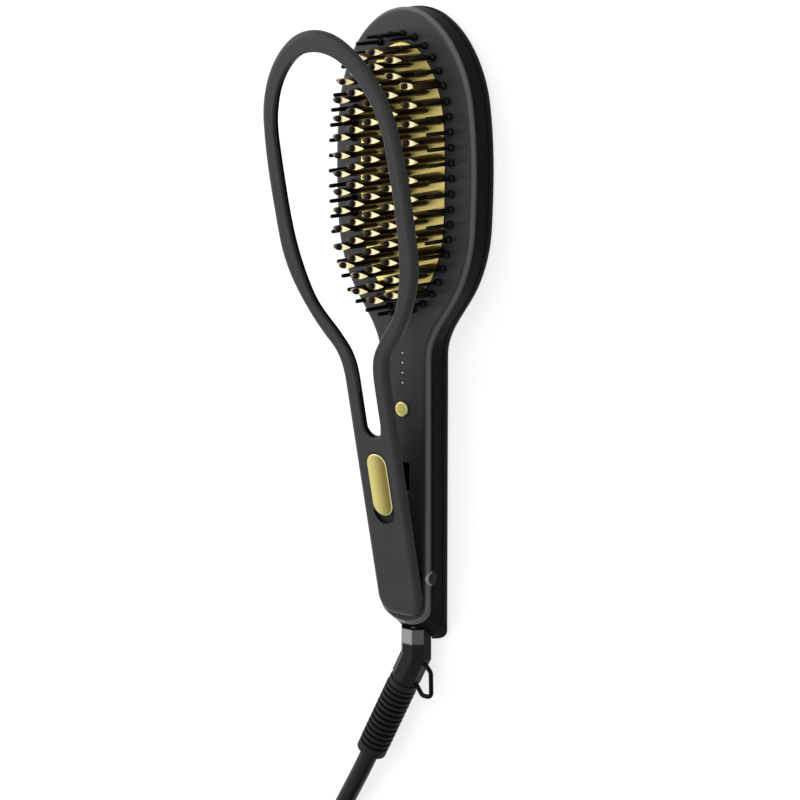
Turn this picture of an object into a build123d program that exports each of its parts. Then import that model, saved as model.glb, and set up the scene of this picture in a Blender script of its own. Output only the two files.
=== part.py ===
from build123d import *
import math
import os

# Hair straightening brush lying on its back, millimetres.
# +Z is the bristle side, +Y points to the head, z = 0 is the flat back face.

# Handle and head
body_depth = 18.0
head_top = 158.0
head_half = 39.8
head_mid_y = 87.0
handle_half = 14.5
handle_end_back = -131.0
end_corner_r = 5.5
end_nose_y = -134.0
end_nose_r = 11.0
end_slant = 14.5
front_edge_r = 3.0
back_edge_r = 5.0
wall = 2.2
front_seam_z = 14.7
back_seam_z = 6.5
seam_step = 0.25
groove_depth = 0.9
groove_height = 0.8
inner_front_z = body_depth - wall

# Screws and bosses of the case
boss_z = 5.0
boss_r = 2.6
screw_r = 1.2
screw_tip_z = 13.2
screw_head_r = 2.3
screw_head_z = (0.9, 2.6)
screw_sink_r = 2.6
screw_clear_r = 1.4
rear_boss_r = 3.4
board_screw_r = 0.8
board_screw_head = (1.6, 1.2)
board_post_r = 1.8

# Brushing field
field_y = 84.9
pin_oval_half = 28.2
pin_oval_length = 61.5
pin_pitch = 6.83
pin_r = 0.9
pin_height = 16.9
pin_collar_r = 1.75
pin_collar_z = 0.9
plate_half = 24.0
plate_length = 57.5
plate_gap = 0.45
plate_back_z = 14.4
plate_lip = 1.6
fin_column_pitch = 9.65
fin_row_pitch = 8.13
fin_ridge_heights = (23.4, 22.7, 20.6)
fin_half_length = 5.5
fin_half_width = 1.85
fin_draft = 0.35
fin_crown_r = 9.0
fin_last_rows = (7.0, 6.5, 5.0)
fin_end_drop = 2.6
fin_drop_rows = (4.75, 5.5)
fin_end_squeeze = 0.6
fin_side_squeeze = 1.7
fin_overhang = 2.2
fin_base_gap = 0.05
nib_r = 1.3
nib_height = 2.0
nib_depth = 1.2

# Heater stack under the plate
heater_x = 9.2
heater_half = 6.0
heater_half_length = 44.0
mica_size = (17.0, 47.0)
clamp_size = (16.0, 46.0)
clamp_lip = 1.6
clamp_screw_r = 0.95
clamp_screw_head = (1.9, 8.2)
clamp_screw_tip_z = 15.6
mat_size = (22.0, 48.0)
mat_top_z = 5.0
bar_z = 11.2
mica_z = 10.4
clamp_z = 9.4
thermistor_r = 0.8
fuse_r = 1.7

# Clamp arm, drawn closed and then swung open about its hinge
arm_open = 12.4
hinge_y = -98.5
hinge_z = 14.0
arm_top_z = 23.7
arm_under_z = 20.4
arm_frame_z = 21.8
arm_half = 12.5
arm_tail_y = -115.8
arm_edge_r = 2.8
slot_half = 5.0
slot_end_y = -28.1
tail_gap = 0.4
tail_swing = 1.3
tub_wall = 0.6
hinge_pin_r = 1.2
hinge_pin_x = 13.8
lug_r = 2.3
lug_in = 5.2
lug_out = 10.6
lug_gap = 0.4
spring_tab_x = (-4.2, -2.4)
spring_tab_y = (1.0, 2.9)
spring_tab_z = 2.45
ear_r = 3.2
ear_in = 11.6
ear_out = 14.4
trough_y = (-4.6, 3.1)
trough_z = 11.6
hinge_box_half = 12.2
hinge_box_wall = 1.2

# Lock slide on the arm
pad_top_y = -35.6
pad_length = 30.0
pad_half = 5.6
pad_floor_z = arm_top_z - 1.2
pad_top_z = arm_top_z + 0.6
pad_travel = 4.0
latch_slot_y = (-59.3, -45.9)
latch_slot_half = 4.1
hook_half = 3.0
hook_y = (-54.5, -48.5)
hook_toe_y = -57.5
hook_z = (13.4, 15.2)

# Controls in the handle
led_ys = (4.0, -0.5, -5.1, -9.7)
led_hole_r = 1.1
led_stub_r = 0.6
button_y = -21.6
button_r = 3.5
button_top_z = 19.0
board_z = (7.4, 9.0)
board_half = 11.0
board_y = (-42.0, 11.0)
switch_half = 3.0
switch_height = 3.6
stem_well_r = 1.7
button_skirt = 1.4
lead_wire_r = 0.7
lead_wire_z = 8.2

# Cord end
swivel_z = 7.9
neck_flat = 13.2
neck_start_y = -124.8
neck_bore_r = 7.2
stem_r = 2.8
stem_end_y = -110.8
stem_groove_r = 2.2
clip_y = (-111.6, -111.1)
clip_r = 3.6
bush_r = 3.65
bush_y = (-123.4, -112.0)
bush_cradle_half = 6.4
bush_cradle_rib = 1.2
elbow_collar_r = 6.3
neck_corner_y = -138.0
neck_turn = 28.0
elbow_run = 14.77
relief_end_run = 57.5
relief_r = 7.2
rib_pitch = 2.9
rib_count = 12
rib_start = 3.2
rib_depth = 2.1
rib_slope = 0.45
rib_width = 1.3
cord_d = 8.6
cord_socket = 3.5
cord_floor_z = 4.5
coil_centre = (-8.0, -279.0)
coil_outer_r = 53.9
coil_pitch = 9.2
coil_low_z = 4.9
coil_high_z = coil_low_z + coil_pitch
coil_turns_per_layer = 2.375
coil_tail = 9.0
plug_length = 29.0
plug_half_width = 17.0
plug_neck = 26.0
plug_neck_radii = (4.7, 6.4, 9.5)
tie_strap = 0.5
tie_width = 10.0
tie_x = (26.3, 54.3)
plug_pin_r = 2.4
plug_pin_length = 19.0
plug_pin_spacing = 19.0

os.makedirs("parts", exist_ok=True)


def unit(degrees):
    return Vector(math.cos(math.radians(degrees)), math.sin(math.radians(degrees)), 0)


def biarc(start, start_dir, end, end_dir):
    """Two arcs that leave start along start_dir and reach end along end_dir."""
    start, end = Vector(start), Vector(end)
    t0, t1 = Vector(start_dir).normalized(), Vector(end_dir).normalized()
    chord = end - start
    if (chord.normalized() - t0).length < 1e-6:
        return [Line(start, end)]
    both = t0 + t1
    spread = 2 * (1 - t0.dot(t1))
    across = chord.dot(both)
    if spread < 1e-9:
        reach = chord.length ** 2 / (2 * across)
    else:
        reach = (math.sqrt(across ** 2 + spread * chord.length ** 2) - across) / spread
    joint = (start + end + (t0 - t1) * reach) * 0.5
    turn_dir = (end - t1 * reach) - (start + t0 * reach)
    return [TangentArc(start, joint, tangent=t0), TangentArc(joint, end, tangent=turn_dir)]


def half_outline(knots):
    """Smooth curve through knots of x, y and heading."""
    edges = []
    for (x0, y0, h0), (x1, y1, h1) in zip(knots, knots[1:]):
        edges += biarc((x0, y0), unit(h0), (x1, y1), unit(h1))
    return edges


def mirrored_face(edges):
    return make_face(edges + [mirror(edge, about=Plane.YZ) for edge in edges])


def slab(low, high, half_x=120.0, y_range=(-200.0, 200.0)):
    depth = y_range[1] - y_range[0]
    middle = (y_range[0] + y_range[1]) / 2
    return Pos(0, middle, (low + high) / 2) * Box(2 * half_x, depth, high - low)


def block(x0, x1, y0, y1, z0, z1):
    return Pos((x0 + x1) / 2, (y0 + y1) / 2, (z0 + z1) / 2) * Box(x1 - x0, y1 - y0, z1 - z0)


def post(x, y, r, z0, z1):
    return Pos(x, y, (z0 + z1) / 2) * Cylinder(r, z1 - z0)


def bar_x(x0, x1, y, z, r):
    return Pos((x0 + x1) / 2, y, z) * Rot(0, 90, 0) * Cylinder(r, x1 - x0)


def bar_y(x, y0, y1, z, r):
    return Pos(x, (y0 + y1) / 2, z) * Rot(90, 0, 0) * Cylinder(r, y1 - y0)


def prism(face, z0, z1):
    return Pos(0, 0, z0) * extrude(face, z1 - z0)


def write(name, shape, colour=None):
    shape.label = name
    export_step(shape, f"parts/{name}.step")
    print(f"{name}: {len(shape.solids())} solid(s), {shape.volume:.1f} mm3")


def group(shapes):
    solids = []
    for shape in shapes:
        solids += list(shape.solids())
    return Compound(children=solids)


# Outlines

def head_face():
    knots = [
        (0, head_top, 0),
        (27.0, head_top - 15.5, -54),
        (head_half, head_mid_y, -90),
        (32.8, head_mid_y - 49.9, -115),
        (21.0, head_mid_y - 68.0, -126),
        (handle_half, head_mid_y - 85.0, -90),
        (handle_half, -86.0, -90),
    ]
    return mirrored_face(half_outline(knots) + [Line((handle_half, -86.0), (0, -86.0))])


def handle_end_face():
    """Square-cornered end of the handle as seen from the back."""
    corner_y = handle_end_back + end_corner_r
    corner_x = handle_half - end_corner_r
    edges = [Line((0, -68.0), (handle_half, -68.0)), Line((handle_half, -68.0), (handle_half, corner_y))]
    edges += biarc((handle_half, corner_y), unit(-90), (corner_x, handle_end_back), unit(180))
    return mirrored_face(edges + [Line((corner_x, handle_end_back), (0, handle_end_back))])


def handle_nose_face():
    """Rounder end that leans forwards and cuts the square one."""
    corner_y = end_nose_y + end_nose_r
    edges = [Line((0, -68.0), (handle_half, -68.0)), Line((handle_half, -68.0), (handle_half, corner_y))]
    edges += biarc((handle_half, corner_y), unit(-90), (0, end_nose_y), unit(180))
    return mirrored_face(edges)


def body_solid(inset, back_r=0.0):
    """The whole body's outer form, drawn in by inset, with its back edge rounded."""
    faces = [head_face(), handle_end_face(), handle_nose_face()]
    if inset:
        faces = [offset(face, -inset) for face in faces]
    lean = Vector(0, end_slant, body_depth)
    nose = extrude(faces[2], lean.length, dir=lean.normalized())
    head = extrude(faces[0], body_depth)
    whole = head + extrude(faces[1], body_depth)
    if back_r:
        whole = fillet(whole.faces().sort_by(Axis.Z)[0].edges(), back_r)
    return whole & (head + nose)


def oval_face(half, length):
    """Long oval a little squarer than an ellipse, about the middle of the field."""
    knots = [
        (0, field_y + length, 0),
        (0.734 * half, field_y + 0.764 * length, -64),
        (half, field_y, -90),
        (0.734 * half, field_y - 0.764 * length, -116),
        (0, field_y - length, 180),
    ]
    return mirrored_face(half_outline(knots))


def arm_outer_face():
    knots = [
        (0, head_top + 0.4, 0),
        (28.3, head_top - 17.5, -56),
        (head_half - 0.5, head_mid_y + 1.0, -90),
        (33.6, head_mid_y - 47.0, -114),
        (22.0, head_mid_y - 66.8, -127),
        (14.6, head_mid_y - 77.0, -113),
        (arm_half, head_mid_y - 90.0, -90),
        (arm_half, arm_tail_y + 9.0, -90),
        (arm_half - 8.0, arm_tail_y, 180),
        (0, arm_tail_y, 180),
    ]
    return mirrored_face(half_outline(knots))


def arm_inner_face():
    knots = [
        (0, field_y + 64.3, 0),
        (25.7, field_y + 45.1, -64),
        (31.5, field_y - 0.9, -90),
        (28.4, field_y - 34.9, -103),
        (20.6, field_y - 54.9, -126),
        (12.5, field_y - 64.9, -126),
        (6.6, field_y - 74.9, -108),
        (slot_half, field_y - 87.9, -90),
        (slot_half, slot_end_y + slot_half, -90),
        (0, slot_end_y, 180),
    ]
    return mirrored_face(half_outline(knots))


def swing_open(shape):
    return shape.rotate(Axis((0, hinge_y, hinge_z), (1, 0, 0)), arm_open)


# Shells of the body

outer = body_solid(0, back_edge_r)
top_edges = outer.faces().sort_by(Axis.Z)[-1].edges()
outer = fillet(top_edges, front_edge_r)
cavity = body_solid(wall) & slab(wall, inner_front_z)

case_screw_spots = [
    (-33.2, field_y + 22.0), (33.2, field_y + 22.0),
    (-33.2, field_y - 22.0), (33.2, field_y - 22.0),
    (0, head_top - 6.4), (0, field_y - 67.5),
    (-9.2, -82.0), (9.2, -82.0),
]

pin_path = oval_face(pin_oval_half, pin_oval_length).face().outer_wire()
pin_count = 2 * round(pin_path.length / pin_pitch / 2)
pin_spots = [pin_path.position_at(i / pin_count) for i in range(pin_count)]
print("guard pins:", pin_count, "pitch", round(pin_path.length / pin_count, 2))

tail_outline = arm_outer_face() & slab(-1, 1, y_range=(arm_tail_y - 5, hinge_y + 1.5))
tail_well_face = offset(tail_outline.faces()[0], tail_gap, kind=Kind.INTERSECTION)
tub_face = offset(tail_outline.faces()[0], tail_gap + tub_wall, kind=Kind.INTERSECTION)


def swing_room(face, low, high):
    """Prism over the arm's tail and over where its end goes as the arm opens."""
    room = prism(face, low, high)
    return room + Pos(0, -tail_swing, 0) * room


well = swing_room(tail_well_face, 10.0, 40.0) & swing_open(slab(arm_under_z - tail_gap, 60.0))
trough_low_y, trough_high_y = hinge_y + trough_y[0], hinge_y + trough_y[1]
lug_trough = block(-lug_out - lug_gap, lug_out + lug_gap, trough_low_y, trough_high_y, trough_z, 30.0)
hinge_box = block(-hinge_box_half, hinge_box_half, trough_low_y - hinge_box_wall,
                  trough_high_y + hinge_box_wall, trough_z - 1.5, inner_front_z)


def hinge_ears(gap):
    """Round bosses that hold the ends of the hinge pin."""
    ears = bar_x(ear_in, ear_out + gap, hinge_y, hinge_z, ear_r + gap)
    return ears + bar_x(-ear_out - gap, -ear_in, hinge_y, hinge_z, ear_r + gap)


def front_cover():
    cover = (outer & slab(front_seam_z, 40.0)) - cavity
    cover += swing_room(tub_face, front_seam_z, inner_front_z) + hinge_box + hinge_ears(0)
    cover -= well + lug_trough
    cover -= bar_x(-20.0, hinge_pin_x + 0.05, hinge_y, hinge_z, hinge_pin_r + 0.02)
    cover -= prism(oval_face(plate_half + plate_gap, plate_length + plate_gap), 10.0, 40.0)
    cover -= [post(p.X, p.Y, pin_r + 0.05, 10.0, 30.0) for p in pin_spots]
    cover -= [post(0, y, led_hole_r, 10.0, 30.0) for y in led_ys]
    cover -= post(0, button_y, button_r + 0.3, 10.0, 30.0)
    cover -= block(-latch_slot_half, latch_slot_half, latch_slot_y[0], latch_slot_y[1], 12.0, 30.0)
    cover += [post(x, y, boss_r, boss_z, inner_front_z) for x, y in case_screw_spots]
    cover -= [post(x, y, screw_r + 0.03, boss_z - 1, 14.0) for x, y in case_screw_spots]
    return cover


swivel_bore = bar_y(0, -150.0, neck_start_y + 0.8, swivel_z, neck_bore_r)
bush_seat = bar_y(0, bush_y[0] - 1.0, bush_y[1] + 1.0, swivel_z, bush_r)
board_posts = [(-8.0, 6.0), (8.0, -37.0)]


def mid_frame():
    band = body_solid(seam_step) & slab(back_seam_z, front_seam_z - groove_height)
    band += body_solid(groove_depth) & slab(front_seam_z - groove_height, front_seam_z)
    band -= body_solid(wall)
    return band - hinge_ears(0.05) - swivel_bore - bush_seat


def rear_cover():
    cover = (outer & slab(-1.0, back_seam_z)) - cavity
    cover += [post(x, y, rear_boss_r, wall, boss_z) for x, y in case_screw_spots]
    for y in (bush_y[0] + 2.0, bush_y[1] - 3.5):
        low_y, high_y = y - bush_cradle_rib, y + bush_cradle_rib
        cover += block(-bush_cradle_half, bush_cradle_half, low_y, high_y, wall, back_seam_z)
    cover += [post(x, y, board_post_r, wall, board_z[0]) for x, y in board_posts]
    cover -= [post(x, y, screw_clear_r, -1.0, 9.0) for x, y in case_screw_spots]
    cover -= [post(x, y, screw_sink_r, -1.0, screw_head_z[1]) for x, y in case_screw_spots]
    cover -= [post(x, y, board_screw_r + 0.02, 3.0, 9.0) for x, y in board_posts]
    return cover - bush_seat - swivel_bore


def screws(spots, head_r, head_z0, head_z1, shank_r, tip_z):
    """Cross-head screws with their heads downwards."""
    made = []
    for x, y in spots:
        screw = post(x, y, head_r, head_z0, head_z1) + post(x, y, shank_r, head_z1, tip_z)
        cross = block(x - 0.25, x + 0.25, y - head_r * 0.6, y + head_r * 0.6, head_z0, head_z0 + 0.5)
        cross += block(x - head_r * 0.6, x + head_r * 0.6, y - 0.25, y + 0.25, head_z0, head_z0 + 0.5)
        made.append(screw - cross)
    return group(made)


# Heating head

def lens_edges(half_length, half_width, z):
    tips = (Vector(-half_length, 0, z), Vector(half_length, 0, z))
    upper = ThreePointArc(tips[0], (0, half_width, z), tips[1])
    return [upper, ThreePointArc(tips[1], (0, -half_width, z), tips[0])]


def fin(ridge):
    """Leaf-shaped fin that tapers upwards and crowns towards its middle."""
    base = make_face(lens_edges(fin_half_length, fin_half_width, body_depth - 0.5))
    top_z = body_depth + ridge + 1.0
    tip = make_face(lens_edges(fin_half_length - fin_draft, fin_half_width - fin_draft, top_z))
    leaf = loft([base, tip], ruled=True)
    crown = Pos(0, 0, body_depth + ridge - fin_crown_r) * Rot(90, 0, 0) * Cylinder(fin_crown_r, 20.0)
    crown += block(-20.0, 20.0, -10.0, 10.0, 0, body_depth + ridge - fin_crown_r)
    return (leaf & crown) - post(0, 0, nib_r + 0.02, body_depth + ridge - nib_depth, body_depth + ridge + 5)


def fin_spot(column, row):
    """Place and ridge height of a fin; the end ones are lower and drawn in."""
    row_from_middle = abs(row)
    squeeze = fin_end_squeeze * max(0, row_from_middle - 5) ** 2
    y = math.copysign(row_from_middle * fin_row_pitch - squeeze, row)
    x = column * fin_column_pitch
    if abs(column) == 2:
        x -= math.copysign(fin_side_squeeze * max(0, row_from_middle - 4), column)
    low, high = fin_drop_rows
    drop = fin_end_drop * min(1, max(0, (row_from_middle - low) / (high - low)))
    return x, field_y + y, fin_ridge_heights[abs(column)] - drop


def fin_spots():
    """Columns of fins with every other column shifted by half a row."""
    spots = []
    for column in range(-2, 3):
        shift = 0.5 if column % 2 else 0.0
        rows = [step + shift for step in range(-8, 9)]
        spots += [fin_spot(column, row) for row in rows if abs(row) <= fin_last_rows[abs(column)]]
    return spots


fins = fin_spots()
print("fins:", len(fins))
clamp_screw_spots = [(0, field_y + dy) for dy in (-39.0, -13.0, 13.0, 39.0)]


def heat_plate():
    plate = prism(oval_face(plate_half, plate_length), plate_back_z, body_depth)
    rim = oval_face(plate_half + plate_lip, plate_length + plate_lip)
    plate += prism(rim, plate_back_z, inner_front_z - 0.05)
    hole_top_z = clamp_screw_tip_z + 0.6
    return plate - [post(x, y, clamp_screw_r + 0.05, 10.0, hole_top_z) for x, y in clamp_screw_spots]


def heat_fins():
    """Fins standing on the plate; the outermost ones reach a little over its edge."""
    base_z = body_depth + fin_base_gap
    room = prism(oval_face(plate_half, plate_length), body_depth, base_z)
    room += prism(oval_face(plate_half + fin_overhang, plate_length + fin_overhang), base_z, base_z + 60.0)
    leaves = {ridge: fin(ridge) for ridge in sorted({ridge for x, y, ridge in fins})}
    return group([(Pos(x, y, 0) * leaves[ridge]) & room for x, y, ridge in fins])


def fin_tips():
    made = []
    for x, y, ridge in fins:
        low = body_depth + ridge - nib_depth
        high = body_depth + ridge + nib_height
        nib = post(x, y, nib_r, low, high)
        made.append(fillet(nib.edges().sort_by(Axis.Z)[-1], nib_r * 0.8))
    return group(made)


def guard_pins():
    """Loose pins with a bead that seats on the cover and a dome end."""
    stem_z = plate_back_z
    tip_z = body_depth + pin_height
    pin = post(0, 0, pin_r, stem_z, tip_z)
    pin = fillet(pin.edges().sort_by(Axis.Z)[-1], pin_r * 0.9)
    bead = (Pos(0, 0, body_depth + pin_collar_z) * Sphere(pin_collar_r)) & slab(body_depth, 30.0)
    pin += bead
    return group([Pos(p.X, p.Y, 0) * pin for p in pin_spots])


def pin_ring():
    ring = oval_face(pin_oval_half + 1.4, pin_oval_length + 1.4)
    ring -= oval_face(pin_oval_half - 1.3, pin_oval_length - 1.3)
    ring = prism(ring, plate_back_z, inner_front_z)
    return ring - [post(p.X, p.Y, pin_r + 0.05, 10.0, 20.0) for p in pin_spots]


def rounded_plate(half_x, half_y, z0, z1, corner):
    plate = Pos(0, field_y, (z0 + z1) / 2) * Box(2 * half_x, 2 * half_y, z1 - z0)
    return fillet(plate.edges().filter_by(Axis.Z), corner)


def heater_bars():
    bars = []
    low_y, high_y = field_y - heater_half_length, field_y + heater_half_length
    for x in (-heater_x, heater_x):
        bar = block(x - heater_half, x + heater_half, low_y, high_y, bar_z, plate_back_z)
        bars.append(fillet(bar.edges().filter_by(Axis.Y), 0.8))
    return group(bars)


def mica_sheet():
    sheet = rounded_plate(*mica_size, mica_z, bar_z, 4.0)
    return sheet - [post(x, y, 1.2, 5.0, 15.0) for x, y in clamp_screw_spots]


def heater_clamp():
    plate = rounded_plate(*clamp_size, clamp_z, mica_z, 3.0)
    for x in (-clamp_size[0], clamp_size[0]):
        plate += block(x - 0.5, x + 0.5, field_y - 40.0, field_y + 40.0, clamp_z - clamp_lip, clamp_z + 0.2)
    return plate - [post(x, y, 1.1, 5.0, 15.0) for x, y in clamp_screw_spots]


# Controls

def control_board():
    board = block(-board_half, board_half, board_y[0], board_y[1], board_z[0], board_z[1])
    board = fillet(board.edges().filter_by(Axis.Z), 1.5)
    return board - [post(x, y, board_screw_r + 0.05, 5.0, 12.0) for x, y in board_posts]


def board_parts():
    """Relay, transformer block and capacitor."""
    made = [block(-9.5, -4.5, -38.0, -30.0, board_z[1], board_z[1] + 4.0)]
    made.append(block(4.2, 9.6, -16.0, -2.0, board_z[1], board_z[1] + 3.2))
    made.append(bar_y(-7.0, -20.0, -9.0, board_z[1] + 2.05, 2.0))
    return group(made)


def board_screws():
    head_r, head_height = board_screw_head
    top = board_z[1]
    return group([post(x, y, head_r, top, top + head_height) + post(x, y, board_screw_r, 3.4, top)
                  for x, y in board_posts])


def indicator_leds():
    return group([block(-0.9, 0.9, y - 0.9, y + 0.9, board_z[1], board_z[1] + 1.0) for y in led_ys])


def light_pipe():
    pipe = block(-1.6, 1.6, led_ys[-1] - 2.0, led_ys[0] + 2.0, 13.4, inner_front_z)
    for y in led_ys:
        pipe += post(0, y, 0.8, board_z[1] + 1.2, 13.5)
        pipe += post(0, y, led_stub_r, inner_front_z - 0.1, body_depth)
    return pipe


def tact_switch():
    low_y, high_y = button_y - switch_half, button_y + switch_half
    case = block(-switch_half, switch_half, low_y, high_y, board_z[1], board_z[1] + switch_height)
    return case - post(0, button_y, stem_well_r, board_z[1] + 1.6, 20.0)


def power_button():
    cap = post(0, button_y, button_r, 14.0, button_top_z)
    cap = fillet(cap.edges().sort_by(Axis.Z)[-1], 0.6)
    return cap + post(0, button_y, button_r + button_skirt, 14.0, inner_front_z - 0.2)


def switch_stem():
    return post(0, button_y, stem_well_r - 0.1, board_z[1] + 2.4, 14.0)


# Clamp arm

arm_screw_spots = [(-34.3, head_mid_y), (34.3, head_mid_y), (0, head_top - 5.7)]
arm_screw_spots += [(-8.2, -31.0), (8.2, -31.0), (-8.2, -76.0), (8.2, -76.0)]
slot_rim_face = offset(arm_inner_face(), 1.2) - arm_inner_face()
slot_rim_face &= slab(-1, 1, y_range=(slot_end_y - 6, -7.0))
stem_slot = block(-hook_half - 0.3, hook_half + 0.3, latch_slot_y[0] + 0.1, latch_slot_y[1] - 2.0, 10.0, 30.0)


def stadium(half, y_high, y_low, z0, z1):
    middle = (y_high + y_low) / 2
    face = Rot(0, 0, 90) * SlotOverall(y_high - y_low, 2 * half)
    return Pos(0, middle, z0) * extrude(face, z1 - z0)


def arm_cover():
    ring = arm_outer_face() - arm_inner_face()
    shell = prism(ring, arm_under_z, arm_top_z)
    top = shell.faces().sort_by(Axis.Z)[-1]
    shell = fillet(top.outer_wire().edges(), arm_edge_r)
    top = shell.faces().sort_by(Axis.Z)[-1]
    shell = fillet(top.inner_wires()[0].edges(), 0.9)
    shell -= prism(offset(arm_outer_face(), -1.6), arm_under_z - 1, arm_frame_z)
    shell -= prism(slot_rim_face, arm_under_z, arm_frame_z + 1.0)
    pad_low_y = pad_top_y - pad_length - pad_travel
    shell -= stadium(pad_half + 0.35, pad_top_y + 0.35, pad_low_y - 0.35, pad_floor_z, 30.0)
    shell -= stem_slot
    shell -= [post(x, y, 0.8, arm_under_z, arm_top_z - 0.55) for x, y in arm_screw_spots]
    return swing_open(shell)


def arm_frame():
    ring = offset(arm_outer_face(), -1.7) - arm_inner_face()
    frame = prism(ring, arm_under_z, arm_frame_z) + prism(slot_rim_face, arm_frame_z, arm_frame_z + 1.0)
    lug = bar_x(lug_in, lug_out, hinge_y, hinge_z, lug_r)
    lug += block(lug_in, lug_out, hinge_y - lug_r, hinge_y + lug_r, hinge_z, arm_under_z + 0.5)
    frame += lug + mirror(lug, about=Plane.YZ)
    frame -= bar_x(-20.0, 20.0, hinge_y, hinge_z, hinge_pin_r + 0.05)
    frame += block(*spring_tab_x, hinge_y + spring_tab_y[0], hinge_y + spring_tab_y[1],
                   hinge_z + spring_tab_z, arm_under_z + 0.5)
    frame -= stem_slot
    frame -= [post(x, y, 0.85, 10.0, 30.0) for x, y in arm_screw_spots]
    frame -= [post(x, y, 1.6, 10.0, arm_under_z + 0.75) for x, y in arm_screw_spots]
    return swing_open(frame)


def arm_screws():
    made = screws(arm_screw_spots, head_r=1.5, head_z0=arm_under_z + 0.05, head_z1=arm_under_z + 0.75,
                  shank_r=0.75, tip_z=arm_top_z - 0.65)
    return swing_open(made)


def lock_pad():
    pad = stadium(pad_half, pad_top_y, pad_top_y - pad_length, pad_floor_z + 0.05, pad_top_z)
    top = pad.faces().sort_by(Axis.Z)[-1]
    return swing_open(fillet(top.edges(), 0.6))


def lock_hook():
    hook = block(-hook_half, hook_half, *hook_y, hook_z[0], pad_floor_z + 0.05)
    hook += block(-hook_half, hook_half, hook_toe_y, hook_y[0] + 0.1, *hook_z)
    return swing_open(hook)


spring_wire_r = 0.35
spring_coil_r = 2.0
spring_width = 6.6
spring_turns = 6.5
spring_leg = 2.8


def arm_spring():
    """Torsion spring on the hinge pin; its legs press on the handle below and the arm above."""
    helix = Helix(spring_width / spring_turns, spring_width, spring_coil_r)
    ends = ((helix @ 0, helix % 0 * -1), (helix @ 1, helix % 1))
    section = Plane(origin=ends[0][0], z_dir=helix % 0) * Circle(spring_wire_r)
    spring = sweep(section, path=helix, is_frenet=True)
    for point, direction in ends:
        leg = Plane(origin=point, z_dir=direction) * Pos(0, 0, spring_leg / 2)
        spring += leg * Cylinder(spring_wire_r, spring_leg)
    seat = Plane(origin=(spring_width / 2, hinge_y, hinge_z), x_dir=(0, 0, -1), z_dir=(-1, 0, 0))
    return seat.location * spring


def hinge_pin():
    pin = bar_x(-hinge_pin_x, hinge_pin_x, hinge_y, hinge_z, hinge_pin_r)
    return chamfer(pin.edges(), 0.2)


# Cord end

turn = math.radians(neck_turn)
run_dir = Vector(-math.sin(turn), -math.cos(turn), 0)
neck_corner = Vector(0, neck_corner_y, swivel_z)


def along(run):
    return neck_corner + run_dir * run


def octagon_prism(start, end, cut_a, cut_b):
    """Eight-sided bar from start to end, trimmed by two planes given as origin and normal."""
    direction = (end - start).normalized()
    plane = Plane(origin=start, x_dir=(0, 0, 1), z_dir=direction)
    radius = neck_flat / 2 / math.cos(math.radians(22.5))
    section = plane * (Rot(0, 0, 22.5) * RegularPolygon(radius, 8))
    bar = extrude(section, (end - start).length, dir=direction)
    for origin, normal in (cut_a, cut_b):
        if origin is not None:
            bar = split(bar, Plane(origin=origin, z_dir=normal), keep=Keep.BOTTOM)
    return bar


neck_start = Vector(0, neck_start_y, swivel_z)


def swivel_elbow():
    mitre = (Vector(0, -1, 0) + run_dir).normalized()
    none = (None, None)
    neck = octagon_prism(neck_start, neck_corner + Vector(0, -6, 0), (neck_corner, mitre), none)
    elbow_end = along(elbow_run - 2.0)
    tail = octagon_prism(along(-6.0), elbow_end, (neck_corner, mitre * -1), none)
    collar = Plane(origin=along(elbow_run - 1.0), z_dir=run_dir) * Cylinder(elbow_collar_r, 2.0)
    stem = bar_y(0, neck_start_y, stem_end_y, swivel_z, stem_r)
    stem -= bar_y(0, *clip_y, swivel_z, 10.0) - bar_y(0, *clip_y, swivel_z, stem_groove_r)
    return neck + tail + collar + stem


def swivel_bush():
    return bar_y(0, *bush_y, swivel_z, bush_r) - bar_y(0, -130.0, -100.0, swivel_z, stem_r + 0.05)


def swivel_clip():
    low_y, high_y = clip_y[0] + 0.05, clip_y[1] - 0.05
    ring = bar_y(0, low_y, high_y, swivel_z, clip_r)
    ring -= bar_y(0, -113.0, -110.0, swivel_z, stem_groove_r + 0.02)
    return ring - block(-1.4, 1.4, -113.0, -110.0, swivel_z, swivel_z + 6)


def strain_relief():
    """Rubber sleeve: plain root, ribs and a plain collar, drawn along X and then laid in place."""
    groove_r = relief_r - rib_depth
    length = relief_end_run - elbow_run
    plain_r = relief_r - 0.3
    ribs_end = rib_start + rib_count * rib_pitch
    sections = [(0, plain_r), (rib_start - rib_slope, plain_r)]
    for i in range(rib_count):
        x = rib_start + i * rib_pitch
        sections += [(x, groove_r), (x + rib_slope, relief_r)]
        sections += [(x + rib_slope + rib_width, relief_r), (x + 2 * rib_slope + rib_width, groove_r)]
    sections += [(ribs_end, groove_r), (ribs_end + rib_slope, relief_r - 0.1), (length, relief_r - 0.1)]
    circles = [Plane(origin=(x, 0, 0), z_dir=(1, 0, 0)) * Circle(r) for x, r in sections]
    sleeve = loft(circles, ruled=True)
    bore = Pos(length - cord_socket / 2, 0, 0) * Rot(0, 90, 0) * Cylinder(cord_d / 2 + 0.1, cord_socket)
    sleeve -= bore
    seat = Plane(origin=along(elbow_run), x_dir=run_dir, z_dir=(0, 0, 1))
    return seat.location * sleeve


loop_wire_r = 1.05


def hang_loop():
    """Wire eye beside the elbow with both ends set into it."""
    bottom_y = -head_top + loop_wire_r
    points = [(4.0, -140.4), (8.6, -145.2), (8.9, bottom_y), (3.6, bottom_y), (-2.2, -149.4)]
    path = FilletPolyline([(x, y, swivel_z) for x, y in points], radius=2.2)
    section = Plane(origin=path @ 0, z_dir=path % 0) * Circle(loop_wire_r)
    return sweep(section, path=path)


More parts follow.
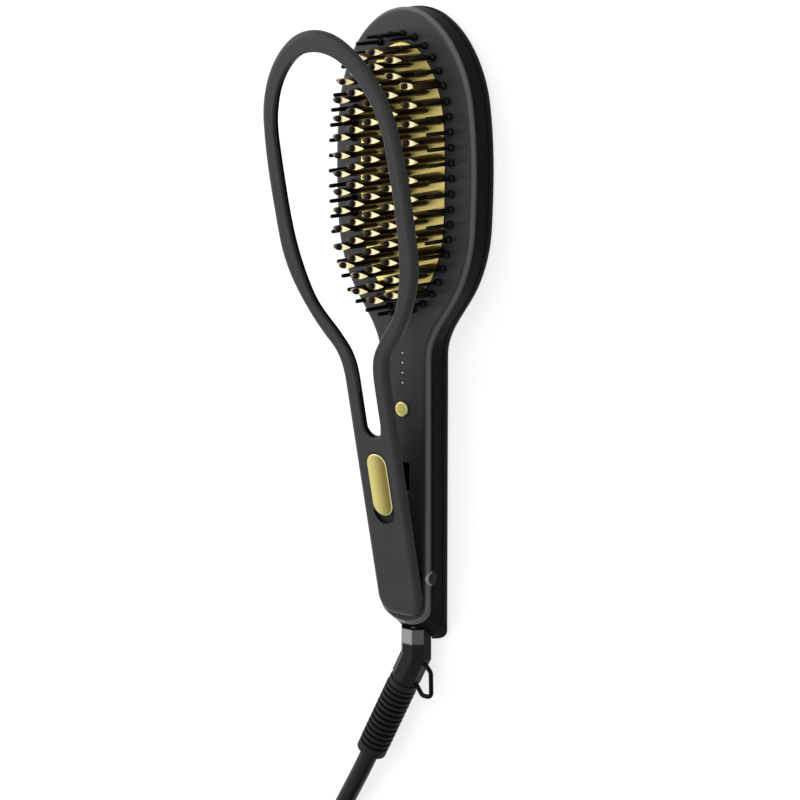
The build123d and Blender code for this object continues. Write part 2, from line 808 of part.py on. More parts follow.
def cord_route():
    """Free stretch of the cord from its sleeve down to the table and on to the coil."""
    start = along(relief_end_run - cord_socket)
    west_x = coil_centre[0] - coil_outer_r
    return [
        start,
        start + run_dir * 15.0,
        Vector(-44.2, -216.2, 5.2),
        Vector(-53.2, -231.5, cord_floor_z),
        Vector(-59.8, -247.5, 4.6),
        Vector(west_x, -263.5, coil_low_z),
        Vector(west_x, coil_centre[1], coil_low_z),
    ]


def corner_radii(points):
    """Arc radius at each corner, as large as the two runs beside it allow."""
    radii = []
    for before, corner, after in zip(points, points[1:], points[2:]):
        run_in, run_out = corner - before, after - corner
        half_turn = math.radians(run_in.get_angle(run_out) / 2)
        radii.append(0.45 * min(run_in.length, run_out.length) / math.tan(half_turn))
    return radii


def cord_lead():
    points = cord_route()
    radii = corner_radii(points)
    print("cord radii:", [round(r, 1) for r in radii])
    path = FilletPolyline(points, radius=radii)
    section = Plane(origin=path @ 0, z_dir=path % 0) * Circle(cord_d / 2)
    tube = sweep(section, path=path)
    print("cord lead length:", round(path.length, 1), "volume ratio:",
          round(tube.volume / (path.length * math.pi * cord_d ** 2 / 4), 4))
    return tube


coil_turns = 2 * coil_turns_per_layer + 0.5
coil_inner_r = coil_outer_r - coil_turns_per_layer * coil_pitch


def coil_state(turns):
    """Radius and height of the coil's centre line after a number of turns."""
    climb = (turns - coil_turns_per_layer) / 0.5
    if climb <= 0:
        return coil_outer_r - coil_pitch * turns, coil_low_z
    if climb >= 1:
        return coil_inner_r + coil_pitch * (turns - coil_turns_per_layer - 0.5), coil_high_z
    rise = climb * climb * (3 - 2 * climb)
    return coil_inner_r - coil_pitch * 0.5 * climb * (1 - climb), coil_low_z + coil_pitch * rise


def coil_point(turns):
    radius, z = coil_state(turns)
    angle = math.pi + 2 * math.pi * turns
    return Vector(coil_centre[0] + radius * math.cos(angle), coil_centre[1] + radius * math.sin(angle), z)


def coil_tangent(turns):
    step = 0.002
    if turns < step:
        return Vector(0, -1, 0)
    if turns > coil_turns - step:
        return Vector(1, 0, 0)
    return (coil_point(turns + step) - coil_point(turns - step)).normalized()


def cord_coil():
    """Put-away length, wound inwards on the table and outwards again on top."""
    knots = [i / 4 for i in range(round(coil_turns * 4) + 1)]
    edges = []
    for a, b in zip(knots, knots[1:]):
        edges += biarc(coil_point(a), coil_tangent(a), coil_point(b), coil_tangent(b))
    end = coil_point(coil_turns)
    edges.append(Line(end, end + Vector(coil_tail, 0, 0)))
    path = Wire(edges)
    section = Plane(origin=coil_point(0), z_dir=(0, -1, 0)) * Circle(cord_d / 2)
    tube = sweep(section, path=path)
    samples = [coil_point(i / 48) for i in range(round(coil_turns * 48) + 1)]
    gap = min((samples[i] - samples[j]).length
              for i in range(len(samples)) for j in range(i + 24, len(samples))) - cord_d
    print("coil length:", round(path.length, 1), "least gap:", round(gap, 2), "volume ratio:",
          round(tube.volume / (path.length * math.pi * cord_d ** 2 / 4), 4))
    return tube


plug_start = coil_point(coil_turns) + Vector(coil_tail, 0, 0)


def cord_tie():
    """Flat strap round the coil on its right-hand side."""
    x0, x1 = coil_centre[0] + tie_x[0], coil_centre[0] + tie_x[1]
    y0, y1 = coil_centre[1] - tie_width / 2, coil_centre[1] + tie_width / 2
    top_z = coil_high_z + cord_d / 2 + 0.3
    outside = block(x0 - tie_strap, x1 + tie_strap, y0, y1, 0, top_z + tie_strap)
    outside = fillet(outside.edges().filter_by(Axis.Y), 2.4)
    inside = block(x0, x1, y0 - 1, y1 + 1, tie_strap, top_z)
    inside = fillet(inside.edges().filter_by(Axis.Y), 1.9)
    return outside - inside


def plug_body():
    """Moulded plug: tapered neck with a flat oval body."""
    x, y, z = plug_start
    stations = (0, plug_neck * 0.7, plug_neck + 4.0)
    circles = [Plane(origin=(x + dx, y, z), z_dir=(1, 0, 0)) * Circle(r)
               for dx, r in zip(stations, plug_neck_radii)]
    neck = loft(circles, ruled=True)
    face = Plane(origin=(x + plug_neck, y, z), x_dir=(0, 1, 0), z_dir=(1, 0, 0)) * SlotOverall(
        2 * plug_half_width, 2 * coil_high_z)
    body = extrude(face, plug_length)
    ends = body.faces().sort_by(Axis.X)
    body = fillet(ends[0].edges(), 5.0)
    ends = body.faces().sort_by(Axis.X)
    body = fillet(ends[-1].edges(), 1.0)
    return body + neck


def plug_pins():
    x, y, z = plug_start
    x += plug_neck + plug_length
    pins = []
    for side in (-1, 1):
        pin = bar_x(x, x + plug_pin_length, y + side * plug_pin_spacing / 2, z, plug_pin_r)
        pins.append(fillet(pin.edges().sort_by(Axis.X)[-1], 1.6))
    return group(pins)


write("front_cover", front_cover())
write("mid_frame", mid_frame())
write("rear_cover", rear_cover())
write("case_screws", screws(case_screw_spots, screw_head_r, *screw_head_z, screw_r, screw_tip_z))
write("heat_plate", heat_plate())
write("heat_fins", heat_fins())
write("fin_tips", fin_tips())
write("guard_pins", guard_pins())
write("pin_ring", pin_ring())
write("heater_bars", heater_bars())
write("mica_sheet", mica_sheet())
write("heater_clamp", heater_clamp())
write("clamp_screws", screws(clamp_screw_spots, *clamp_screw_head, clamp_z, clamp_screw_r, clamp_screw_tip_z))
write("thermistor", bar_y(-9.0, field_y + 14.0, field_y + 20.0, clamp_z - thermistor_r - 0.05, thermistor_r))
write("thermal_fuse", bar_y(9.0, field_y - 17.0, field_y - 6.0, clamp_z - fuse_r - 0.05, fuse_r))
write("insulation_mat", rounded_plate(*mat_size, wall, mat_top_z, 6.0))
write("control_board", control_board())
write("board_parts", board_parts())
write("board_screws", board_screws())
write("indicator_leds", indicator_leds())
write("light_pipe", light_pipe())
write("tact_switch", tact_switch())
write("power_button", power_button())
write("switch_stem", switch_stem())
write("lead_wires", group([bar_y(x, -109.5, board_y[0], lead_wire_z, lead_wire_r) for x in (-0.9, 0.9)]))
write("hinge_pin", hinge_pin())
write("arm_cover", arm_cover())
write("arm_frame", arm_frame())
write("arm_screws", arm_screws())
write("arm_spring", arm_spring())
write("lock_pad", lock_pad())
write("lock_hook", lock_hook())
write("swivel_bush", swivel_bush())
write("swivel_clip", swivel_clip())
write("swivel_elbow", swivel_elbow())
write("strain_relief", strain_relief())
write("hang_loop", hang_loop())
write("cord_lead", cord_lead())
write("cord_coil", cord_coil())
write("cord_tie", cord_tie())
write("plug_body", plug_body())
write("plug_pins", plug_pins())
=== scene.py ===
import math

import bpy
from mathutils import Matrix, Vector


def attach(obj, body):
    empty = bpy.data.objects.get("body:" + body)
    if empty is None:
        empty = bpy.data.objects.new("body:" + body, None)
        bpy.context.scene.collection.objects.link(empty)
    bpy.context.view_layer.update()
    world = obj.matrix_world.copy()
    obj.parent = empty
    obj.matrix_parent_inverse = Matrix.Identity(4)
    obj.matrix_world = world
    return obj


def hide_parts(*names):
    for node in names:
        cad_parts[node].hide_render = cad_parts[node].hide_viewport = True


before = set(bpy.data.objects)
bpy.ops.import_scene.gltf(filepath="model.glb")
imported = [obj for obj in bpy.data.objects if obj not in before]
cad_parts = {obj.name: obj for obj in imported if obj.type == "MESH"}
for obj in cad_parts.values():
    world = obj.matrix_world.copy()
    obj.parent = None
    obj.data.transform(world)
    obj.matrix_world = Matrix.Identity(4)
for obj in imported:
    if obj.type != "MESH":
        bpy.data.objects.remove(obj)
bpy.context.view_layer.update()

mm = 0.001
print("frame loaded")


# Camera, placed by its angles round the middle of the brush's front face

cameraSetup = {
    "azimuth": 39.5,
    "elevation": 10.9,
    "distance": 1.3483,
    "lens": 135.0,
    "sensor": 36.0,
    "clipEnd": 20.0,
    "aimPoint": (0.0, -0.0175, 0.018),
    "sideStep": -0.00106,
}


def placeCamera(setup):
    azimuth = math.radians(setup["azimuth"])
    elevation = math.radians(setup["elevation"])
    right = Vector((math.cos(azimuth), 0, -math.sin(azimuth)))
    back = Vector((math.cos(elevation) * math.sin(azimuth), math.sin(elevation),
                   math.cos(elevation) * math.cos(azimuth)))
    up = back.cross(right)
    spot = Vector(setup["aimPoint"]) + back * setup["distance"] + right * setup["sideStep"]
    lensData = bpy.data.cameras.new("studioCamera")
    lensData.lens = setup["lens"]
    lensData.sensor_width = setup["sensor"]
    lensData.sensor_fit = "HORIZONTAL"
    lensData.clip_end = setup["clipEnd"]
    camera = bpy.data.objects.new("studioCamera", lensData)
    turned = Matrix((right, up, back)).transposed().to_4x4()
    camera.matrix_world = Matrix.Translation(spot) @ turned
    bpy.context.scene.collection.objects.link(camera)
    bpy.context.scene.camera = camera


placeCamera(cameraSetup)
print("camera placed")


# Node helpers

def grey(level):
    return (level, level, level, 1)


def newMaterial(name):
    material = bpy.data.materials.new(name)
    material.use_nodes = True
    tree = material.node_tree
    return material, tree, tree.nodes["Principled BSDF"]


def addNode(tree, kind, **values):
    node = tree.nodes.new(kind)
    for key, value in values.items():
        setattr(node, key, value)
    return node


def setInputs(tree, node, values):
    for label, value in values.items():
        if isinstance(value, bpy.types.NodeSocket):
            tree.links.new(value, node.inputs[label])
        else:
            node.inputs[label].default_value = value


def axesOf(tree, kind, output):
    source = addNode(tree, kind)
    axes = addNode(tree, "ShaderNodeSeparateXYZ")
    setInputs(tree, axes, {"Vector": source.outputs[output]})
    return axes.outputs


def combine(tree, operation, *values):
    node = addNode(tree, "ShaderNodeMath", operation=operation)
    setInputs(tree, node, dict(enumerate(values)))
    return node.outputs["Value"]


def distance(tree, first, second, middle=(0.0, 0.0)):
    steps = [combine(tree, "SUBTRACT", value, centre) for value, centre in zip((first, second), middle)]
    squares = [combine(tree, "MULTIPLY", step, step) for step in steps]
    return combine(tree, "SQRT", combine(tree, "ADD", *squares))


def ramp(tree, value, limits, interpolation="SMOOTHSTEP"):
    node = addNode(tree, "ShaderNodeMapRange", interpolation_type=interpolation)
    setInputs(tree, node, {"Value": value, "From Min": limits[0], "From Max": limits[1]})
    return node.outputs["Result"]


def tint(tree, mask, base, shade):
    node = addNode(tree, "ShaderNodeMix", data_type="RGBA")
    setInputs(tree, node, {"Factor": mask, "A": base, "B": shade})
    return node.outputs["Result"]


def paintOver(material, layers):
    tree = material.node_tree
    target = tree.nodes["Principled BSDF"].inputs["Base Color"]
    color = target.links[0].from_socket
    for mask, shade in layers:
        color = tint(tree, mask, color, shade)
    tree.links.new(color, target)


# Shared grain of mouldings, castings and lacquer

grainInputs = {
    "Grain Size": ("NodeSocketFloat", 4500.0),
    "Cloud Size": ("NodeSocketFloat", 45.0),
    "Dark": ("NodeSocketColor", grey(0.01)),
    "Light": ("NodeSocketColor", grey(0.02)),
    "Rough Low": ("NodeSocketFloat", 0.45),
    "Rough High": ("NodeSocketFloat", 0.6),
}
grainOutputs = {"Color": "NodeSocketColor", "Roughness": "NodeSocketFloat", "Height": "NodeSocketFloat"}
grainNoise = {
    "fine": {"Detail": 2.0, "Roughness": 0.6},
    "cloud": {"Detail": 3.0, "Roughness": 0.55},
}


def makeMouldedGrain(inputs, outputs, noise):
    group = bpy.data.node_groups.new("mouldedGrain", "ShaderNodeTree")
    for label, (kind, value) in inputs.items():
        group.interface.new_socket(name=label, in_out="INPUT", socket_type=kind).default_value = value
    for label, kind in outputs.items():
        group.interface.new_socket(name=label, in_out="OUTPUT", socket_type=kind)
    entry = addNode(group, "NodeGroupInput").outputs
    place = addNode(group, "ShaderNodeTexCoord").outputs["Object"]
    fine = addNode(group, "ShaderNodeTexNoise")
    setInputs(group, fine, {"Vector": place, "Scale": entry["Grain Size"], **noise["fine"]})
    cloud = addNode(group, "ShaderNodeTexNoise")
    setInputs(group, cloud, {"Vector": place, "Scale": entry["Cloud Size"], **noise["cloud"]})
    rough = addNode(group, "ShaderNodeMapRange")
    setInputs(group, rough, {"Value": cloud.outputs["Fac"], "To Min": entry["Rough Low"],
                             "To Max": entry["Rough High"]})
    leave = addNode(group, "NodeGroupOutput")
    setInputs(group, leave, {"Color": tint(group, cloud.outputs["Fac"], entry["Dark"], entry["Light"]),
                             "Roughness": rough.outputs["Result"], "Height": fine.outputs["Fac"]})
    return group


mouldedGrain = makeMouldedGrain(grainInputs, grainOutputs, grainNoise)


def addGrain(tree, shader, finish):
    grain = addNode(tree, "ShaderNodeGroup", node_tree=mouldedGrain)
    roughLow, roughHigh = finish["rough"]
    setInputs(tree, grain, {"Grain Size": finish["grain"], "Rough Low": roughLow, "Rough High": roughHigh})
    setInputs(tree, shader, {"Roughness": grain.outputs["Roughness"]})
    if finish["bump"]:
        bumps = addNode(tree, "ShaderNodeBump")
        setInputs(tree, bumps, {"Strength": finish["bump"], "Distance": finish["bumpDepth"],
                                "Height": grain.outputs["Height"]})
        setInputs(tree, shader, {"Normal": bumps.outputs["Normal"]})
    return grain


# Plain mouldings, each given by what differs from the common finish

commonFinish = {
    "grain": 4500.0,
    "bump": 0.15,
    "bumpDepth": 0.00002,
    "specular": 0.3,
    "metallic": 0.0,
    "sheen": 0.0,
    "sheenRough": 0.35,
    "coat": 0.0,
    "coatRough": 0.22,
    "coatIor": 1.12,
}
mouldings = {
    "backCharcoal": {"dark": grey(0.006), "light": grey(0.009), "rough": (0.45, 0.55), "specular": 0.05},
    "blackMoulding": {"dark": grey(0.0025), "light": grey(0.0045), "rough": (0.4, 0.5), "specular": 0.05},
    "bristleNylon": {"dark": grey(0.003), "light": grey(0.005), "rough": (0.35, 0.45), "specular": 0.12},
    "reliefRubber": {"dark": grey(0.006), "light": grey(0.01), "rough": (0.45, 0.6), "specular": 0.15},
    "cordSheath": {"dark": grey(0.005), "light": grey(0.009), "rough": (0.35, 0.45), "specular": 0.12,
                   "coat": 0.3},
    "platedSteel": {"dark": grey(0.5), "light": grey(0.6), "rough": (0.25, 0.35), "specular": 0.5,
                    "grain": 3000.0, "bump": 0.1, "bumpDepth": 0.00001, "metallic": 1.0},
    "pressedCeramic": {"dark": (0.7, 0.68, 0.64, 1), "light": (0.8, 0.78, 0.74, 1), "rough": (0.6, 0.7)},
    "solderMask": {"dark": (0.01, 0.1, 0.04, 1), "light": (0.02, 0.14, 0.06, 1), "rough": (0.3, 0.4)},
    "lightGuide": {"dark": (0.3, 0.31, 0.32, 1), "light": (0.36, 0.37, 0.38, 1), "rough": (0.2, 0.3),
                   "specular": 0.4},
}


def mouldedPlastic(name, changes):
    finish = {**commonFinish, **changes}
    material, tree, shader = newMaterial(name)
    grain = addGrain(tree, shader, finish)
    setInputs(tree, grain, {"Dark": finish["dark"], "Light": finish["light"]})
    setInputs(tree, shader, {
        "Base Color": grain.outputs["Color"],
        "Specular IOR Level": finish["specular"],
        "Metallic": finish["metallic"],
        "Sheen Weight": finish["sheen"],
        "Sheen Roughness": finish["sheenRough"],
        "Coat Weight": finish["coat"],
        "Coat Roughness": finish["coatRough"],
        "Coat IOR": finish["coatIor"],
    })
    return material


materials = {name: mouldedPlastic(name, changes) for name, changes in mouldings.items()}


# Swivel neck: satin black, with painted highlights on the upward facets of its root

neckFinish = {
    "dark": grey(0.006),
    "light": grey(0.01),
    "rough": (0.3, 0.4),
    "specular": 0.1,
    # The slope and top tones are painted highlights on the root's sloped and upward facets
    "slopeHighlight": grey(0.13),
    "slopeAt": (0.3, 0.68),
    "topHighlight": grey(0.33),
    "topAt": (0.75, 0.98),
    "rootAt": (-0.132, -0.1312),
}


def makeNeckPlastic(neck):
    material = mouldedPlastic("neckMoulding", neck)
    tree = material.node_tree
    upward = axesOf(tree, "ShaderNodeTexCoord", "Normal")["Z"]
    onRoot = ramp(tree, axesOf(tree, "ShaderNodeTexCoord", "Object")["Y"], neck["rootAt"], "LINEAR")
    # Painted highlights on the root's facets that face upward
    paintOver(material, [(combine(tree, "MULTIPLY", ramp(tree, upward, neck[limits]), onRoot), neck[shade])
                         for limits, shade in (("slopeAt", "slopeHighlight"), ("topAt", "topHighlight"))])
    return material


materials["neckMoulding"] = makeNeckPlastic(neckFinish)


# Charcoal of the arm and the front cover

charcoal = {
    "dark": (0.03, 0.03, 0.0305, 1),
    "light": (0.037, 0.037, 0.0375, 1),
    "rough": (0.45, 0.55),
    "specular": 0.12,
    "sheen": 0.3,
    "coat": 0.9,
}


# Clamp arm: paler at grazing angles as a painted highlight, with painted shade in the recess round the slide pad

armFinish = {
    "rimBlend": 0.5,
    "rimAt": (0.76, 0.97),
    # Painted highlight where the arm is seen at grazing angles
    "rim": grey(0.42),
    "recessLow": -0.0667,
    "recessTop": -0.0444,
    "recessRadius": 0.0061,
    # Painted shade in the recess round the slide pad
    "recessShade": grey(0.002),
}


def makeArmFinish(arm):
    material = mouldedPlastic("armCharcoal", charcoal)
    tree = material.node_tree
    view = addNode(tree, "ShaderNodeLayerWeight")
    setInputs(tree, view, {"Blend": arm["rimBlend"]})
    spot = axesOf(tree, "ShaderNodeTexCoord", "Object")
    nearest = addNode(tree, "ShaderNodeClamp")
    setInputs(tree, nearest, {"Value": spot["Y"], "Min": arm["recessLow"], "Max": arm["recessTop"]})
    along = combine(tree, "SUBTRACT", spot["Y"], nearest.outputs["Result"])
    inRecess = combine(tree, "LESS_THAN", distance(tree, spot["X"], along), arm["recessRadius"])
    # Painted highlight at grazing angles, then painted shade in the pad recess
    paintOver(material, [(ramp(tree, view.outputs["Facing"], arm["rimAt"]), arm["rim"]),
                         (inRecess, arm["recessShade"])])
    return material


materials["armCharcoal"] = makeArmFinish(armFinish)


# Front cover: painted shade down the handle, a painted highlight on the rounded edge, dark sides, hinge bosses
# with a painted highlight ring, and painted shade in the button gap

coverFinish = {
    # Painted shade down the handle, darker towards its end
    "handleAt": (0.03, -0.03),
    "handle": grey(0.016),
    # Painted highlight on the rounded front edge
    "edgeStart": (0.93, 0.65),
    "edgeEnd": (0.12, 0.3),
    "edge": grey(0.16),
    "sideAt": (0.25, 0.08),
    "side": grey(0.004),
    "hinge": (-0.0985, 0.014),
    "bossFromX": 0.0112,
    "bossRadius": 0.0027,
    "ringRadius": 0.0036,
    # The ring tone is a painted highlight, a glint round the hinge bosses
    "ring": grey(0.4),
    "frontFromZ": 0.0142,
    "button": (0.0, -0.0216),
    "gapRadius": 0.0043,
    "black": grey(0.003),
}


def makeCoverFinish(cover):
    material = mouldedPlastic("coverCharcoal", charcoal)
    tree = material.node_tree
    spot = axesOf(tree, "ShaderNodeTexCoord", "Object")
    upward = axesOf(tree, "ShaderNodeNewGeometry", "Normal")["Z"]
    fromHinge = distance(tree, spot["Y"], spot["Z"], cover["hinge"])
    fromButton = distance(tree, spot["X"], spot["Y"], cover["button"])
    outward = combine(tree, "GREATER_THAN", combine(tree, "ABSOLUTE", spot["X"]), cover["bossFromX"])
    front = combine(tree, "GREATER_THAN", spot["Z"], cover["frontFromZ"])
    edge = combine(tree, "MULTIPLY", ramp(tree, upward, cover["edgeStart"]), ramp(tree, upward, cover["edgeEnd"]))

    def within(reach, radius, where):
        return combine(tree, "MULTIPLY", combine(tree, "LESS_THAN", reach, radius), where)

    paintOver(material, [
        (ramp(tree, spot["Y"], cover["handleAt"]), cover["handle"]),
        (edge, cover["edge"]),
        (ramp(tree, upward, cover["sideAt"]), cover["side"]),
        (within(fromHinge, cover["ringRadius"], outward), cover["black"]),
        (within(fromHinge, cover["ringRadius"], front), cover["ring"]),
        (within(fromHinge, cover["bossRadius"], outward), cover["black"]),
        # Painted shade: black round the button in its gap
        (within(fromButton, cover["gapRadius"], front), cover["black"]),
    ])
    return material


materials["coverCharcoal"] = makeCoverFinish(coverFinish)


# Gold casting: sides and left-turned crowns darkened with painted shade, olive plate, and painted highlights on
# the crowns where the fins turn to the right

castFinish = {
    # The side tone is painted shade on the fins' sides and on crowns turned to the left
    "side": (0.06, 0.03, 0.008, 1),
    "plate": (0.6, 0.49, 0.16, 1),
    # The crown tone is a painted highlight on crowns where the fins turn to the right
    "crown": (0.78, 0.69, 0.42, 1),
    "levelAt": (0.25, 0.8),
    "crownAt": (0.0355, 0.0385),
    "leftAt": (0.3, 0.05),
    "grain": 2500.0,
    "rough": (0.3, 0.42),
    "bump": 0.3,
    "bumpDepth": 0.00003,
    "metallic": 1.0,
}


def makeGoldCast(cast):
    material, tree, shader = newMaterial("goldCast")
    facing = axesOf(tree, "ShaderNodeNewGeometry", "Normal")
    onCrown = ramp(tree, axesOf(tree, "ShaderNodeTexCoord", "Object")["Z"], cast["crownAt"])
    shaded = combine(tree, "MULTIPLY", onCrown, ramp(tree, facing["X"], cast["leftAt"]))
    level = combine(tree, "MULTIPLY", ramp(tree, facing["Z"], cast["levelAt"]),
                    combine(tree, "SUBTRACT", 1.0, shaded))
    flat = tint(tree, onCrown, cast["plate"], cast["crown"])
    addGrain(tree, shader, cast)
    setInputs(tree, shader, {"Base Color": tint(tree, level, cast["side"], flat), "Metallic": cast["metallic"]})
    return material


materials["goldCast"] = makeGoldCast(castFinish)


# Slide pad: gold lacquer, painted light on its left fading to painted shade towards its right side, with a
# painted highlight round its rim

padFinish = {
    "across": (-0.0055, 0.005),
    # Painted light on the pad's left side, fading to painted shade towards its right
    "light": (0.6, 0.54, 0.2, 1),
    "padShade": (0.17, 0.125, 0.028, 1),
    # Painted highlight round the pad's rim
    "rimAt": (0.93, 0.8),
    "rim": (0.66, 0.61, 0.36, 1),
    "grain": 5000.0,
    "rough": (0.34, 0.42),
    "bump": 0.2,
    "bumpDepth": 0.00002,
    "metallic": 0.95,
}


def makeGoldLacquer(pad):
    material, tree, shader = newMaterial("goldLacquer")
    sideways = axesOf(tree, "ShaderNodeTexCoord", "Object")["X"]
    upward = axesOf(tree, "ShaderNodeNewGeometry", "Normal")["Z"]
    # Painted light and shade across the pad
    face = tint(tree, ramp(tree, sideways, pad["across"]), pad["light"], pad["padShade"])
    # Painted highlight on the rim
    color = tint(tree, ramp(tree, upward, pad["rimAt"], "LINEAR"), face, pad["rim"])
    addGrain(tree, shader, pad)
    setInputs(tree, shader, {"Base Color": color, "Metallic": pad["metallic"]})
    return material


materials["goldLacquer"] = makeGoldLacquer(padFinish)


# Power button: pale outer ring, dark groove, and a dished gold disc with the usual power sign

buttonFinish = {
    "middleY": -0.0216,
    "disc": (0.4, 0.35, 0.1, 1),
    "ring": (0.5, 0.45, 0.2, 1),
    "groove": (0.12, 0.095, 0.03, 1),
    "ringFrom": 0.0023,
    "grooveFrom": 0.002,
    "signRadius": 0.00105,
    "signWidth": 0.00013,
    "barLow": 0.0004,
    "barHigh": 0.0015,
    "gapSlope": 0.9,
    "grain": 5000.0,
    "rough": (0.36, 0.45),
    "bump": 0.0,
    "metallic": 0.9,
}


def makeButtonGold(button):
    material, tree, shader = newMaterial("buttonGold")

    def calc(operation, *values):
        return combine(tree, operation, *values)

    spot = axesOf(tree, "ShaderNodeTexCoord", "Object")
    y = calc("SUBTRACT", spot["Y"], button["middleY"])
    side = calc("ABSOLUTE", spot["X"])
    radius = distance(tree, spot["X"], y)
    offCircle = calc("ABSOLUTE", calc("SUBTRACT", radius, button["signRadius"]))
    onCircle = calc("LESS_THAN", offCircle, button["signWidth"])
    outsideGap = calc("LESS_THAN", calc("MULTIPLY", y, button["gapSlope"]), side)
    barLength = calc("MULTIPLY", calc("GREATER_THAN", y, button["barLow"]),
                     calc("LESS_THAN", y, button["barHigh"]))
    onBar = calc("MULTIPLY", calc("LESS_THAN", side, button["signWidth"]), barLength)
    sign = calc("MAXIMUM", calc("MULTIPLY", onCircle, outsideGap), onBar)
    color = tint(tree, calc("GREATER_THAN", radius, button["grooveFrom"]), button["disc"], button["groove"])
    color = tint(tree, calc("GREATER_THAN", radius, button["ringFrom"]), color, button["ring"])
    color = tint(tree, sign, color, button["groove"])
    addGrain(tree, shader, button)
    setInputs(tree, shader, {"Base Color": color, "Metallic": button["metallic"]})
    return material


materials["buttonGold"] = makeButtonGold(buttonFinish)


# Which material each CAD node wears

nodeFinish = {
    "coverCharcoal": ["front_cover"],
    "armCharcoal": ["arm_cover"],
    "backCharcoal": ["rear_cover"],
    "blackMoulding": ["mid_frame", "arm_frame", "lock_hook", "swivel_bush", "cord_tie", "board_parts",
                      "tact_switch", "switch_stem", "thermistor", "hang_loop"],
    "neckMoulding": ["swivel_elbow"],
    "bristleNylon": ["fin_tips", "guard_pins", "pin_ring"],
    "goldCast": ["heat_plate", "heat_fins"],
    "goldLacquer": ["lock_pad"],
    "buttonGold": ["power_button"],
    "reliefRubber": ["strain_relief", "plug_body"],
    "cordSheath": ["cord_lead", "cord_coil", "lead_wires"],
    "platedSteel": ["case_screws", "clamp_screws", "board_screws", "arm_screws", "arm_spring", "hinge_pin",
                    "swivel_clip", "plug_pins", "heater_clamp", "thermal_fuse"],
    "pressedCeramic": ["heater_bars", "mica_sheet", "insulation_mat"],
    "solderMask": ["control_board"],
    "lightGuide": ["light_pipe", "indicator_leds"],
}
for finish, names in nodeFinish.items():
    for name in names:
        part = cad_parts[name]
        part.data.materials.clear()
        part.data.materials.append(materials[finish])
print("materials set")


# Cord in millimetres: one spline from inside the sleeve through the coil to the plug

cordRoute = {
    "diameter": 8.6,
    "neckCorner": (0.0, -138.0, 7.9),
    "neckTurn": 28.0,
    "sleeveEnd": 57.5,
    "socket": 3.5,
    "firstStep": 15.0,
    "freePoints": [(-44.2, -216.2, 5.2), (-53.2, -231.5, 4.5), (-59.8, -247.5, 4.6)],
    "besideCoilY": -263.5,
    "coilCentre": (-8.0, -279.0),
    "coilRadius": 53.9,
    "coilPitch": 9.2,
    "lowLayer": 4.9,
    "turnsPerLayer": 2.375,
    "climbTurns": 0.5,
    "pointsPerTurn": 16,
    "tail": 9.0,
    "splineOrder": 3,
    "roundness": 6,
    "smoothness": 6,
}


# The coil winds in, climbs a layer near its middle, and winds out again
def coilPoint(turns, cord):
    climb = (turns - cord["turnsPerLayer"]) / cord["climbTurns"]
    inner = cord["coilRadius"] - cord["turnsPerLayer"] * cord["coilPitch"]
    high = cord["lowLayer"] + cord["coilPitch"]
    if climb <= 0:
        radius, z = cord["coilRadius"] - cord["coilPitch"] * turns, cord["lowLayer"]
    elif climb >= 1:
        radius, z = inner + cord["coilPitch"] * (turns - cord["turnsPerLayer"] - cord["climbTurns"]), high
    else:
        radius = inner - cord["coilPitch"] * cord["climbTurns"] * climb * (1 - climb)
        z = cord["lowLayer"] + cord["coilPitch"] * climb * climb * (3 - 2 * climb)
    angle = math.pi + 2 * math.pi * turns
    cx, cy = cord["coilCentre"]
    return Vector((cx + radius * math.cos(angle), cy + radius * math.sin(angle), z))


def cordPoints(cord):
    turn = math.radians(cord["neckTurn"])
    runDir = Vector((-math.sin(turn), -math.cos(turn), 0))
    start = Vector(cord["neckCorner"]) + runDir * (cord["sleeveEnd"] - cord["socket"])
    westX = cord["coilCentre"][0] - cord["coilRadius"]
    points = [start, start + runDir * cord["firstStep"]]
    points += [Vector(spot) for spot in cord["freePoints"]]
    points.append(Vector((westX, cord["besideCoilY"], cord["lowLayer"])))
    turns = 2 * cord["turnsPerLayer"] + cord["climbTurns"]
    count = round(turns * cord["pointsPerTurn"])
    points += [coilPoint(turns * i / count, cord) for i in range(count + 1)]
    points.append(points[-1] + Vector((cord["tail"], 0, 0)))
    return [point * mm for point in points]


def buildCord(cord):
    points = cordPoints(cord)
    curve = bpy.data.curves.new("mainsCord", "CURVE")
    curve.dimensions = "3D"
    curve.bevel_depth = cord["diameter"] / 2 * mm
    curve.bevel_resolution = cord["roundness"]
    curve.resolution_u = cord["smoothness"]
    curve.use_fill_caps = True
    spline = curve.splines.new("NURBS")
    spline.points.add(len(points) - 1)
    for knot, point in zip(spline.points, points):
        knot.co = (*point, 1.0)
    spline.order_u = cord["splineOrder"]
    spline.use_endpoint_u = True
    piece = bpy.data.objects.new("mains_cord", curve)
    bpy.context.scene.collection.objects.link(piece)
    curve.materials.append(materials["cordSheath"])
    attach(piece, "cord_end")
    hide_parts("cord_lead", "cord_coil")


buildCord(cordRoute)
print("cord laid")


# Floor and world: white to the camera and in reflections, soft light for the rest

studio = {
    "floorSize": 6.0,
    "floorZ": -0.0002,
    "floorRough": 0.9,
    "floorSpecular": 0.1,
    "floorColor": grey(0.35),
    "floorBounce": grey(0.06),
    "floorLift": 0.78,
    "worldLight": 0.25,
    "worldSeen": 1.0,
    "white": grey(1.0),
}


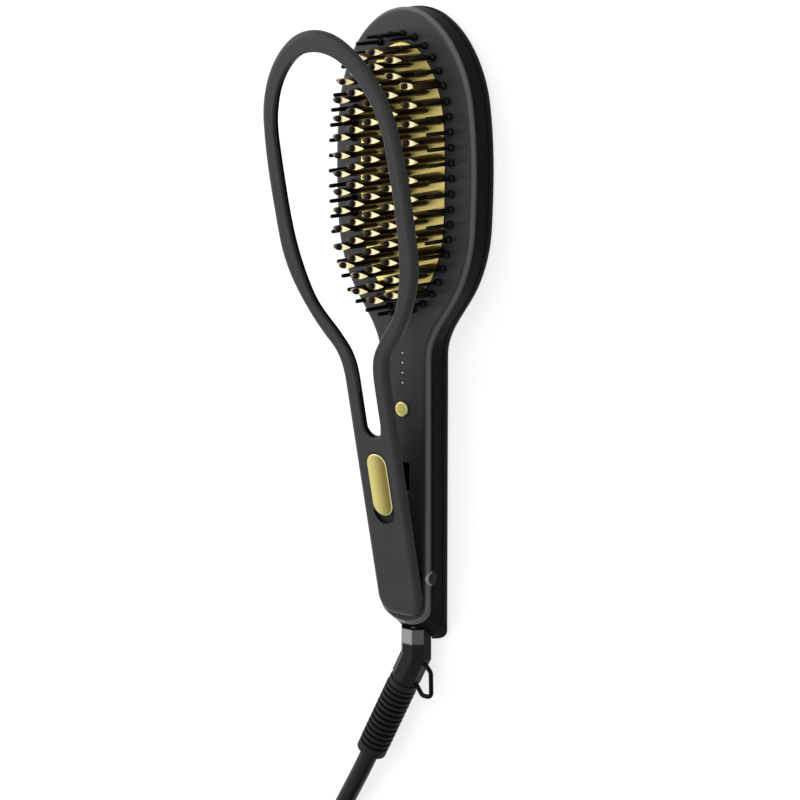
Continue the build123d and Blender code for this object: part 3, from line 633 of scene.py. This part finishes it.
def buildFloor(setup):
    half = setup["floorSize"] / 2
    mesh = bpy.data.meshes.new("studioFloor")
    mesh.from_pydata([(-half, -half, 0), (half, -half, 0), (half, half, 0), (-half, half, 0)], [], [(0, 1, 2, 3)])
    floor = bpy.data.objects.new("studioFloor", mesh)
    floor.location.z = setup["floorZ"]
    bpy.context.scene.collection.objects.link(floor)
    material, tree, shader = newMaterial("paleFloor")
    rays = addNode(tree, "ShaderNodeLightPath").outputs
    seen = combine(tree, "MAXIMUM", rays["Is Camera Ray"], rays["Is Glossy Ray"])
    setInputs(tree, shader, {
        "Base Color": tint(tree, rays["Is Camera Ray"], setup["floorBounce"], setup["floorColor"]),
        "Roughness": setup["floorRough"],
        "Specular IOR Level": setup["floorSpecular"],
        "Emission Color": setup["white"],
        "Emission Strength": combine(tree, "MULTIPLY", seen, setup["floorLift"]),
    })
    mesh.materials.append(material)


def buildWorld(setup):
    world = bpy.data.worlds.new("studioWorld")
    bpy.context.scene.world = world
    world.use_nodes = True
    tree = world.node_tree
    rays = addNode(tree, "ShaderNodeLightPath").outputs
    seen = combine(tree, "ADD", rays["Is Camera Ray"], rays["Is Glossy Ray"])
    level = addNode(tree, "ShaderNodeMapRange", clamp=True)
    setInputs(tree, level, {"Value": combine(tree, "ADD", seen, rays["Is Transmission Ray"]),
                            "To Min": setup["worldLight"], "To Max": setup["worldSeen"]})
    setInputs(tree, tree.nodes["Background"], {"Color": setup["white"], "Strength": level.outputs["Result"]})


# Lamps: three square softboxes aimed at the brush

lampAim = (0.0, 0.0, 0.02)
lamps = {
    "keySoftbox": {"spot": (-1.0, 0.35, 1.1), "size": 1.9, "power": 21.0},
    "topSoftbox": {"spot": (0.1, 0.9, 1.2), "size": 1.0, "power": 5.0},
    "fillSoftbox": {"spot": (0.8, 0.4, 1.2), "size": 1.2, "power": 4.0},
}


def buildLamp(name, setup):
    light = bpy.data.lights.new(name, "AREA")
    light.shape = "SQUARE"
    light.size = setup["size"]
    light.energy = setup["power"]
    lamp = bpy.data.objects.new(name, light)
    spot = Vector(setup["spot"])
    lamp.location = spot
    lamp.rotation_euler = (Vector(lampAim) - spot).to_track_quat("-Z", "Y").to_euler()
    bpy.context.scene.collection.objects.link(lamp)


buildFloor(studio)
buildWorld(studio)
for name, setup in lamps.items():
    buildLamp(name, setup)
bpy.context.scene.view_settings.view_transform = "Standard"
print("studio lit")
